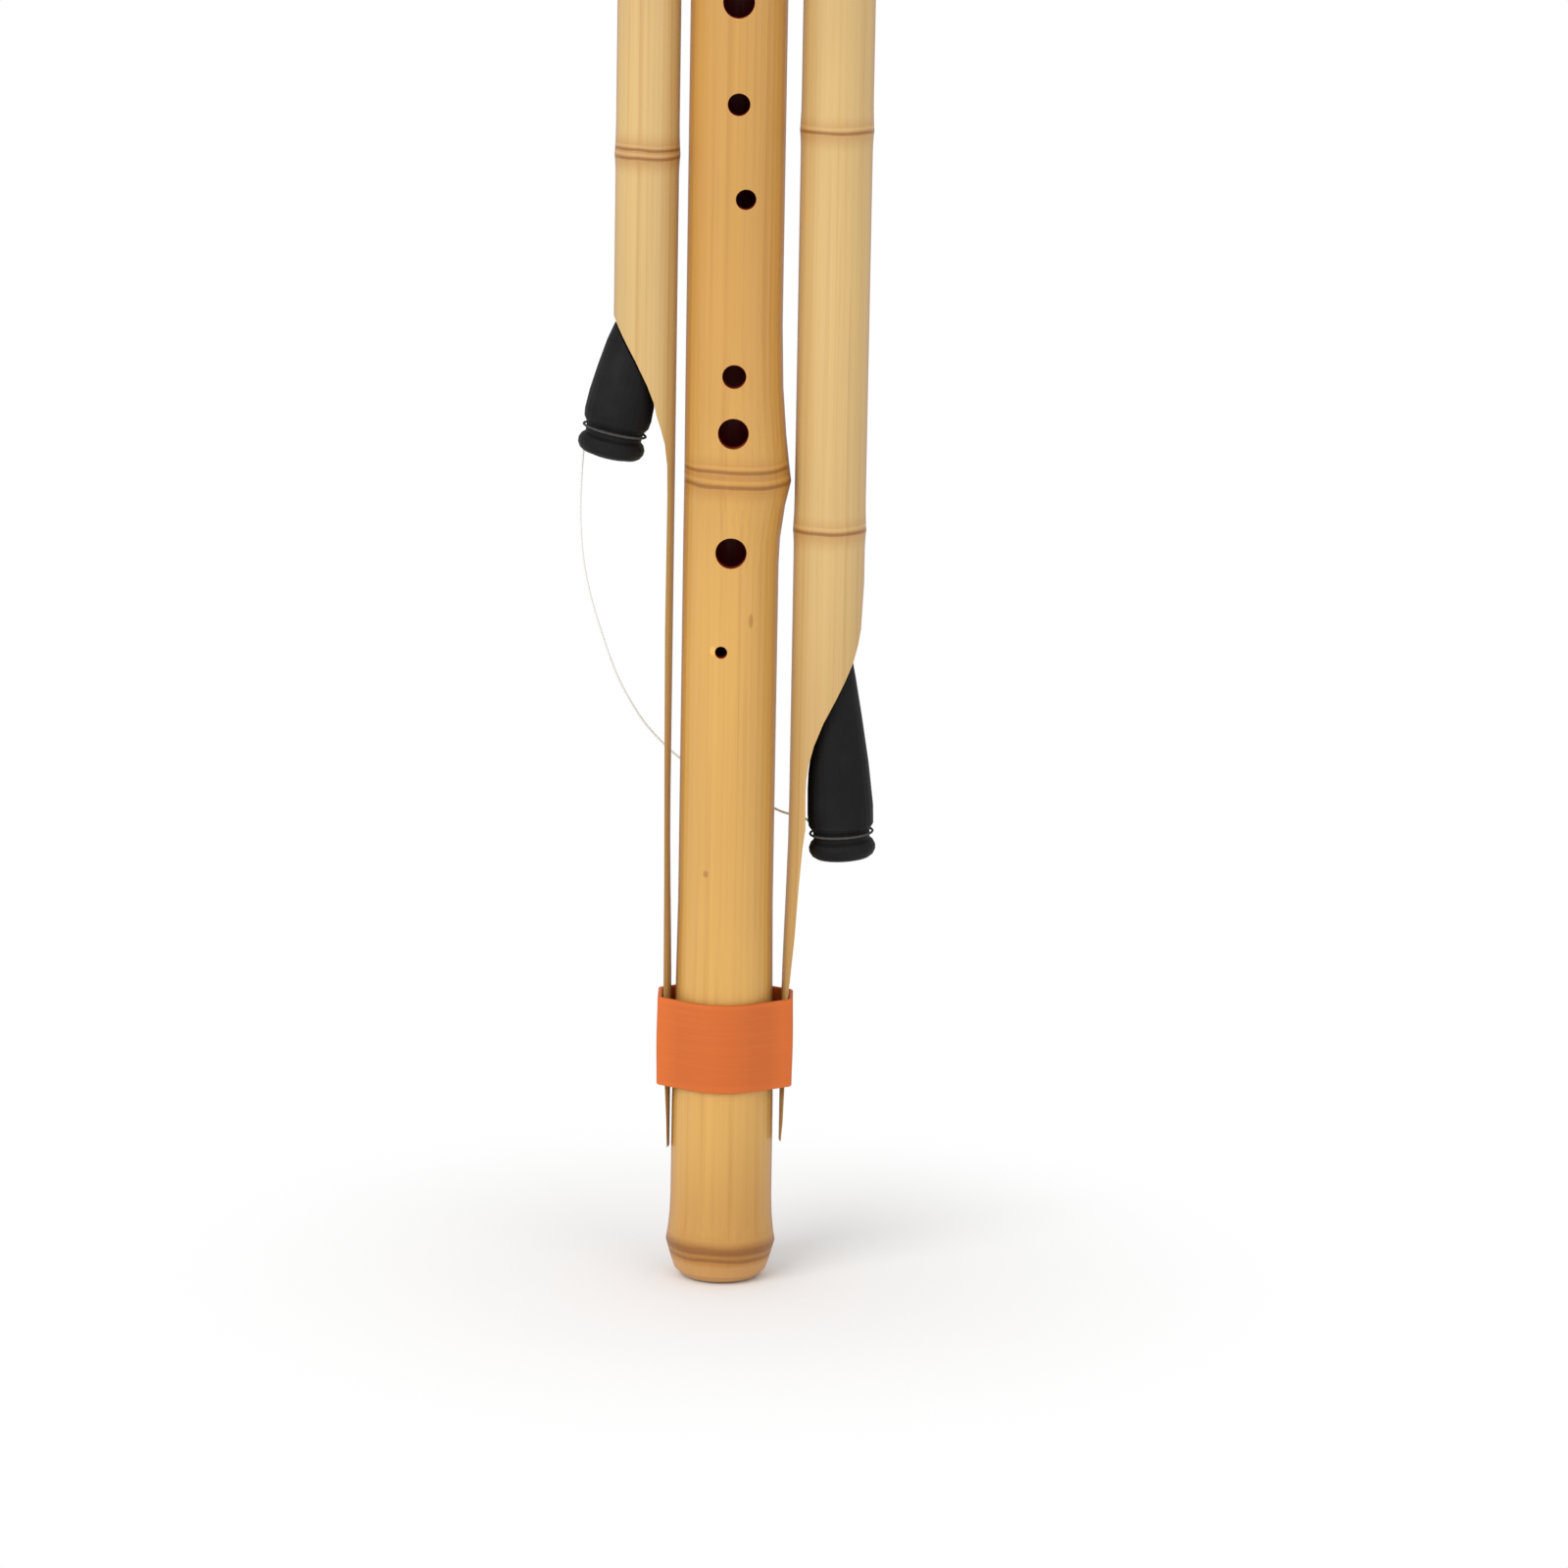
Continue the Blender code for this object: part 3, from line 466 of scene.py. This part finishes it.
def catmull(points, steps):
    """Catmull-Rom curve: each span is a cubic between two points, sloped by their neighbours."""
    p = np.array(points, float)
    p = np.vstack([2.0 * p[0] - p[1], p, 2.0 * p[-1] - p[-2]])
    t = np.linspace(0.0, 1.0, steps, endpoint=False)[:, None]
    a, b, c, d = (p[i:len(p) - 3 + i, None, :] for i in range(4))
    spans = 0.5 * (2.0 * b + (c - a) * t + (2.0 * a - 5.0 * b + 4.0 * c - d) * t ** 2
                   + (3.0 * b - a - 3.0 * c + d) * t ** 3)
    return np.vstack([spans.reshape(-1, p.shape[1]), p[-2][None, :]])


def grid_faces(rows, sides, closed_rows=False):
    """Quads of a grid of rows by sides: every row is a ring, and the rows may close too."""
    count = rows if closed_rows else rows - 1
    row, side = np.meshgrid(np.arange(count), np.arange(sides), indexing="ij")
    below, after = (row + 1) % rows, (side + 1) % sides
    quads = np.stack([row * sides + side, row * sides + after,
                      below * sides + after, below * sides + side], axis=-1)
    return quads.reshape(-1, 4).tolist()


def mesh_piece(name, points, faces, material, body=None):
    """Make a smooth, outward facing object of these points and faces."""
    flat = points.reshape(-1, 3)
    mesh = bpy.data.meshes.new(name)
    mesh.from_pydata(flat.tolist(), [], faces)
    mesh.calc_loop_triangles()
    corners = np.empty(len(mesh.loop_triangles) * 3, np.int32)
    mesh.loop_triangles.foreach_get("vertices", corners)
    a, b, c = (flat[corners[i::3]] for i in range(3))
    if np.einsum("ij,ij->i", a, np.cross(b, c)).sum() < 0.0:
        mesh.flip_normals()
    mesh.shade_smooth()
    mesh.materials.append(material)
    item = bpy.data.objects.new(name, mesh)
    bpy.context.scene.collection.objects.link(item)
    if body:
        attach(item, body)
    return item


def ring_frames(route):
    """Unit vectors across and above a route: along x depth, and across x along."""
    along = np.gradient(route, axis=0)
    along /= np.linalg.norm(along, axis=1)[:, None]
    across = np.cross(along, np.array([0.0, 1.0, 0.0]))
    across /= np.linalg.norm(across, axis=1)[:, None]
    return across, np.cross(across, along)


def thread_tube(name, route, radius, material):
    """Two-ply tube: centre + r (cos a across + sin a up), r = R (1 - s + s cos 2(a - twist))."""
    across, up = ring_frames(route)
    steps = np.linalg.norm(np.diff(route, axis=0), axis=1)
    travelled = np.concatenate([[0.0], np.cumsum(steps)])[:, None]
    angle = (np.arange(THREAD_SIDES) * math.tau / THREAD_SIDES)[None, :]
    ply = np.cos(2.0 * (angle - math.tau * travelled / THREAD_TWIST))
    reach = radius * (1.0 - PLY_SWELL + PLY_SWELL * ply)
    points = (route[:, None, :]
              + (reach * np.cos(angle))[:, :, None] * across[:, None, :]
              + (reach * np.sin(angle))[:, :, None] * up[:, None, :])
    faces = grid_faces(len(route), THREAD_SIDES)
    last = (len(route) - 1) * THREAD_SIDES
    faces.append(list(range(THREAD_SIDES))[::-1])
    faces.append([last + i for i in range(THREAD_SIDES)])
    return mesh_piece(name, points, faces, material)


def tie_loop(name, body, x, z, tilt, radius, material):
    """Twisted ring: (R + r cos a) out and r sin a up, where r swells with cos (2a - turns b)."""
    around = (np.arange(TIE_RINGS) * math.tau / TIE_RINGS)[:, None]
    angle = (np.arange(THREAD_SIDES) * math.tau / THREAD_SIDES)[None, :]
    ply = np.cos(2.0 * angle - TIE_TURNS * around)
    reach = radius * (1.0 - TIE_SWELL + TIE_SWELL * ply)
    out = TIE_RADIUS + reach * np.cos(angle)
    points = np.stack([out * np.cos(around), out * np.sin(around),
                       TIE_HEIGHT + reach * np.sin(angle)], axis=-1)
    turn = np.array(Matrix.Rotation(tilt, 3, "Y"))
    points = points @ turn.T + np.array([x, 0.0, z])
    faces = grid_faces(TIE_RINGS, THREAD_SIDES, True)
    return mesh_piece(name, points, faces, material, body)


def gourd_surface(name, material):
    """Turned wall: the outline and its copy one wall inside; radius x (1 + lobe cos 3a)."""
    outer = catmull([(radius, height) for height, radius in GOURD_SHAPE], GOURD_STEPS)
    along = np.gradient(outer, axis=0)
    along /= np.linalg.norm(along, axis=1)[:, None]
    inner = outer + GOURD_WALL * np.stack([-along[:, 1], along[:, 0]], axis=-1)
    inner[0] = (GOURD_MOUTH, outer[0, 1])
    inner[-1] = (outer[-1, 0] - GOURD_WALL, outer[-1, 1])
    profile = np.vstack([outer, inner[::-1]])
    height = profile[:, 1][:, None]
    angle = (np.arange(GOURD_SIDES) * math.tau / GOURD_SIDES)[None, :]
    rise = np.clip(height / LOBE_FADE, 0.0, 1.0)
    rise = rise * np.clip((LOBE_TOP - height) / LOBE_FADE, 0.0, 1.0)
    lobe = 1.0 + GOURD_LOBE * rise * (np.cos(3.0 * angle + 0.6) + 0.5 * np.cos(5.0 * angle))
    reach = profile[:, 0][:, None] * lobe
    points = np.stack([reach * np.cos(angle), reach * np.sin(angle),
                       np.broadcast_to(GOURD_BASE + height, reach.shape)], axis=-1)
    faces = grid_faces(len(profile), GOURD_SIDES, True)
    return mesh_piece(name, points, faces, material, "instrument")


def band_section():
    """Rounded strip: offsets and levels from the outer face over the top and back."""
    turn = np.linspace(0.0, math.pi / 2.0, BAND_CORNER)
    rise, run = BAND_EDGE * np.sin(turn), BAND_EDGE * np.cos(turn)
    inner, outer = BAND_GAP, BAND_GAP + BAND_THICKNESS
    low, high = BAND_LOW + BAND_EDGE, BAND_HIGH - BAND_EDGE
    level = np.linspace(low, high, BAND_ROWS)
    swell = BAND_BULGE * np.sin(math.pi * (level - low) / (high - low)) ** 2
    offsets = np.concatenate([
        outer + swell, outer - BAND_EDGE + run[1:], inner + BAND_EDGE - rise,
        np.full(BAND_ROWS - 2, inner), inner + BAND_EDGE - run, outer - BAND_EDGE + rise[:-1]])
    levels = np.concatenate([
        level, high + rise[1:], high + run, level[-2:0:-1], low - rise, low - run[:-1]])
    return offsets, levels


def band_surface(name, material):
    """Strip swept round a hull: farthest circle's centre + (its radius + offset) x u(a)."""
    circles = np.array(BAND_CIRCLES)
    angle = np.arange(BAND_SIDES) * math.tau / BAND_SIDES
    u = np.stack([np.cos(angle), np.sin(angle)], axis=-1)
    farthest = np.argmax(u @ circles[:, :2].T + circles[:, 2][None, :], axis=1)
    offsets, levels = band_section()
    reach = circles[farthest, 2][:, None] + offsets[None, :]
    plane = circles[farthest, None, :2] + reach[:, :, None] * u[:, None, :]
    tops = np.broadcast_to(levels[None, :, None], plane.shape[:2] + (1,))
    faces = grid_faces(BAND_SIDES, len(levels), True)
    return mesh_piece(name, np.concatenate([plane, tops], axis=-1), faces, material,
                      "instrument")


def dress(nodes, material):
    """Give these solids a material."""
    for name in nodes:
        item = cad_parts[name]
        item.data.materials.clear()
        item.data.materials.append(material)


class HULUSI_OT_thread(bpy.types.Operator):
    """Make the thread in two halves that meet behind the pipes, and the stoppers' ties"""

    bl_idname = "hulusi.thread"
    bl_label = "Thread and ties"

    def execute(self, context):
        """Make two halves of the thread and two ties."""
        diameter = context.scene.hulusi_looks.thread
        material = cotton("thread_cotton", linear(240, 240, 238))
        route = catmull(THREAD_ROUTE, ROUTE_STEPS)
        split = int(np.argmax(route[:, 0] > THREAD_SPLIT))
        halves = (("thread_left", route[:split + 1], "left_stopper"),
                  ("thread_right", route[split:][::-1], "right_stopper"))
        for name, path, stopper in halves:
            piece = thread_tube(name, path, diameter / 2.0, material)
            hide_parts("plug_thread")
            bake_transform(piece)
        tie_material = cotton("tie_cotton", linear(74, 72, 70))
        for name, body, x, z, tilt in TIES:
            loop = tie_loop(name + "_loop", body, x, z, tilt, diameter / 2.0, tie_material)
            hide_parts(name)
        return {"FINISHED"}


class HULUSI_OT_pipes(bpy.types.Operator):
    """Put bamboo on the three pipes"""

    bl_idname = "hulusi.pipes"
    bl_label = "Pipes"

    def execute(self, context):
        """Dress the melody pipe and both drones."""
        looks = context.scene.hulusi_looks
        fibre, drone = tuple(looks.fibre), tuple(looks.drone)
        dress(["main_pipe"], bamboo(
            "melody_bamboo", MAIN_PIPE, tuple(looks.melody), fibre,
            MAIN_LINES, True))
        dress(["left_drone_pipe"], bamboo(
            "left_drone_bamboo", LEFT_PIPE, drone, fibre, LEFT_LINES, False))
        dress(["right_drone_pipe"], bamboo(
            "right_drone_bamboo", RIGHT_PIPE, drone, fibre, RIGHT_LINES, False))
        return {"FINISHED"}


class HULUSI_OT_chest(bpy.types.Operator):
    """Make the gourd and dress its cap, gasket, collar and mouthpiece"""

    bl_idname = "hulusi.chest"
    bl_label = "Wind chest"

    def execute(self, context):
        """Make the gourd's wall and dress the pieces round it."""
        looks = context.scene.hulusi_looks
        gourd = gourd_surface("gourd_wall", gourd_skin(tuple(looks.gourd)))
        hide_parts("gourd_shell")
        cap = tuple(looks.cap)
        dress(["base_cap", "mouthpiece_collar"], moulded("cap_plastic", cap))
        dress(["mouthpiece_tube"], moulded("mouthpiece_plastic", shade(cap, 1.3)))
        dress(["pipe_gasket"], rubber("gasket_rubber", linear(90, 66, 48), 900.0))
        return {"FINISHED"}


class HULUSI_OT_band(bpy.types.Operator):
    """Make the elastic band"""

    bl_idname = "hulusi.band"
    bl_label = "Band"

    def execute(self, context):
        """Sweep the band round the pipe and both strips."""
        material = stretched_rubber(tuple(context.scene.hulusi_looks.band))
        band = band_surface("elastic_band", material)
        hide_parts("binding_band")
        return {"FINISHED"}


class HULUSI_OT_fittings(bpy.types.Operator):
    """Dress the stoppers and the reeds"""

    bl_idname = "hulusi.fittings"
    bl_label = "Stoppers and reeds"

    def execute(self, context):
        """Put rubber on the stoppers and brass on the reeds."""
        looks = context.scene.hulusi_looks
        # The stoppers' pale patches are partly dusty and partly painted sheen.
        dress(["left_plug", "right_plug"],
              rubber("plug_rubber", tuple(looks.rubber), 1500.0, 0.12, 2.0))
        metal = tuple(looks.brass)
        sides = ("main", "left", "right")
        dress([side + "_reed_plate" for side in sides], brass("reed_brass", metal))
        dress([side + "_reed_tongue" for side in sides],
              brass("tongue_brass", shade(metal, 1.1)))
        return {"FINISHED"}


class HULUSI_OT_stage(bpy.types.Operator):
    """Set up the camera, the white floor and the soft lamps"""

    bl_idname = "hulusi.stage"
    bl_label = "Stage"

    def camera(self, stage):
        """Camera in front of the pipes, looking slightly down."""
        data = bpy.data.cameras.new("camera")
        data.sensor_width = SENSOR
        data.lens = stage.focal / IMAGE_SIDE * SENSOR
        data.clip_start = CLIP_START
        camera = bpy.data.objects.new("camera", data)
        bpy.context.scene.collection.objects.link(camera)
        back = Vector((0.0, -math.cos(stage.pitch), math.sin(stage.pitch)))
        turn = (-back).to_track_quat("-Z", "Y").to_matrix().to_4x4()
        camera.matrix_world = (Matrix.Translation(AIM + stage.distance * back) @ turn
                               @ Matrix.Rotation(stage.roll, 4, "Z"))
        bpy.context.scene.camera = camera

    def lamp(self, name, place, power):
        """Soft square lamp that points at the instrument."""
        data = bpy.data.lights.new(name, "AREA")
        data.shape = "SQUARE"
        data.size = LAMP_SIZE
        data.energy = power
        lamp = bpy.data.objects.new(name, data)
        bpy.context.scene.collection.objects.link(lamp)
        lamp.location = place
        aim = LAMP_AIM - Vector(place)
        lamp.rotation_euler = aim.to_track_quat("-Z", "Y").to_euler()

    def floor(self):
        """White floor that keeps the shadow near the foot and turns plain white far away."""
        bpy.ops.mesh.primitive_plane_add(size=FLOOR_SIZE, location=(0.0, 0.0, -FLOOR_DROP))
        floor = bpy.context.object
        floor.name = "floor"
        graph = Graph("floor_paint", roughness=0.9, specular=0.1)
        x, y, z = graph.place()[1]
        graph.colour((0.93, 0.93, 0.93))
        away = graph.math("SQRT", x * x + y * y)
        white = graph.node("ShaderNodeEmission", inputs={"Color": (1.0, 1.0, 1.0)})
        blend = graph.node("ShaderNodeMixShader", inputs={
            0: graph.step(away, *FLOOR_FADE), 1: graph.shader.outputs[0],
            2: white.outputs[0]})
        graph.put(graph.tree.nodes["Material Output"].inputs["Surface"], blend.outputs[0])
        floor.data.materials.append(graph.material)

    def surroundings(self, ambient):
        """White world: plain white to the camera, softer light for the pieces."""
        world = bpy.data.worlds.new("studio")
        bpy.context.scene.world = world
        world.use_nodes = True
        tree = world.node_tree
        light = tree.nodes["Background"]
        light.inputs[0].default_value = (1.0, 1.0, 1.0, 1.0)
        light.inputs[1].default_value = ambient
        seen = tree.nodes.new("ShaderNodeBackground")
        seen.inputs[0].default_value = (1.0, 1.0, 1.0, 1.0)
        rays = tree.nodes.new("ShaderNodeLightPath")
        blend = tree.nodes.new("ShaderNodeMixShader")
        tree.links.new(rays.outputs["Is Camera Ray"], blend.inputs[0])
        tree.links.new(light.outputs[0], blend.inputs[1])
        tree.links.new(seen.outputs[0], blend.inputs[2])
        tree.links.new(blend.outputs[0], tree.nodes["World Output"].inputs["Surface"])

    def execute(self, context):
        """Make the camera, lamps, floor and surroundings."""
        stage = context.scene.hulusi_stage
        self.camera(stage)
        self.lamp("key_lamp", KEY_PLACE, stage.key)
        self.lamp("fill_lamp", FILL_PLACE, stage.fill)
        self.floor()
        self.surroundings(stage.ambient)
        context.scene.view_settings.view_transform = "Standard"
        return {"FINISHED"}


class HULUSI_PT_looks(bpy.types.Panel):
    """Sidebar panel of the hulusi's looks"""

    bl_idname = "HULUSI_PT_looks"
    bl_label = "Hulusi"
    bl_space_type = "VIEW_3D"
    bl_region_type = "UI"
    bl_category = "Hulusi"

    def draw(self, context):
        """List the properties and the operators."""
        for group in (context.scene.hulusi_looks, context.scene.hulusi_stage):
            column = self.layout.column()
            for name in type(group).__annotations__:
                column.prop(group, name)
        for operator in OPERATORS:
            self.layout.operator(operator.bl_idname)


OPERATORS = (HULUSI_OT_stage, HULUSI_OT_thread, HULUSI_OT_pipes, HULUSI_OT_chest,
             HULUSI_OT_band, HULUSI_OT_fittings)
CLASSES = (HulusiLooks, HulusiStage) + OPERATORS + (HULUSI_PT_looks,)


def register():
    """Register the classes and hang the properties on the scene."""
    for item in CLASSES:
        bpy.utils.register_class(item)
    bpy.types.Scene.hulusi_looks = bpy.props.PointerProperty(type=HulusiLooks)
    bpy.types.Scene.hulusi_stage = bpy.props.PointerProperty(type=HulusiStage)


def unregister():
    """Take the properties and the classes away."""
    del bpy.types.Scene.hulusi_stage
    del bpy.types.Scene.hulusi_looks
    for item in reversed(CLASSES):
        bpy.utils.unregister_class(item)


def main():
    """Make every piece in order."""
    register()
    bpy.ops.hulusi.stage()
    bpy.ops.hulusi.thread()
    bpy.ops.hulusi.pipes()
    bpy.ops.hulusi.chest()
    bpy.ops.hulusi.band()
    bpy.ops.hulusi.fittings()


if __name__ == "__main__":
    main()
